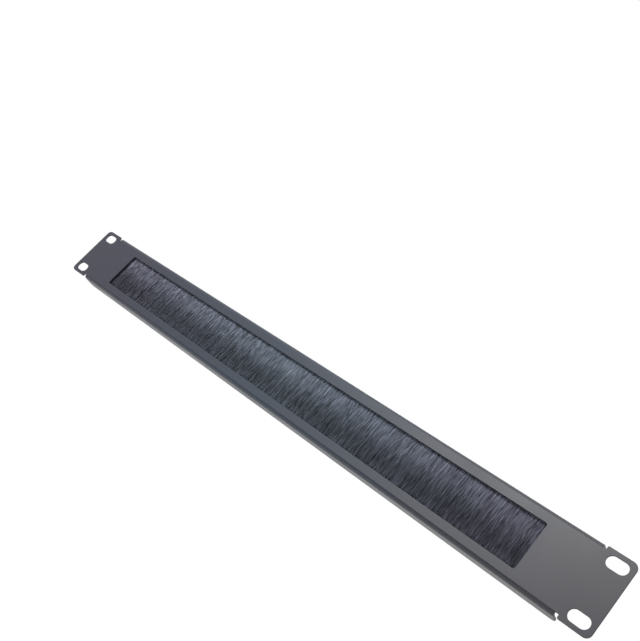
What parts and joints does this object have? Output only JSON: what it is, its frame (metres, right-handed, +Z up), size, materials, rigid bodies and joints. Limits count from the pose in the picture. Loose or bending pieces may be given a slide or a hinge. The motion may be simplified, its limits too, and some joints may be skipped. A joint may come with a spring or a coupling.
{
  "type": "rack brush strip panel",
  "caption": "One-unit 19-inch rack panel, a folded coated steel sheet with a long window closed by a curtain of bristles that lets cables through",
  "frame": {"origin": "centre of the rack slots, on the back of the face, where the ears meet the rack's rails", "axes": "+X along the panel to its right as seen from the front, +Y into the rack so that the front looks along -Y, +Z up"},
  "size_m": [0.4826, 0.012, 0.0436],
  "materials": {
    "panel_coat": "fine-textured powder coat",
    "filament": "crimped nylon filaments, slightly glossy",
    "zinc_plate": "zinc-plated sheet",
    "bright_wire": "drawn wire",
    "copper_flash": "copper-flashed steel",
    "zinc_hardware": "bright zinc plate",
    "spring_steel": "dark spring steel"
  },
  "bodies": {
    "root": {"front_panel": "panel_coat", "bristles": "filament", "brush_channel": "zinc_plate", "core_wire": "bright_wire", "brush_retainer": "zinc_plate", "weld_stud_1": "copper_flash", "weld_stud_2": "copper_flash", "weld_stud_3": "copper_flash", "weld_stud_4": "copper_flash", "plain_washer_1": "zinc_hardware", "plain_washer_2": "zinc_hardware", "plain_washer_3": "zinc_hardware", "plain_washer_4": "zinc_hardware", "spring_washer_1": "spring_steel", "spring_washer_2": "spring_steel", "spring_washer_3": "spring_steel", "spring_washer_4": "spring_steel", "hex_nut_1": "zinc_hardware", "hex_nut_2": "zinc_hardware", "hex_nut_3": "zinc_hardware", "hex_nut_4": "zinc_hardware"}
  },
  "joints": []
}
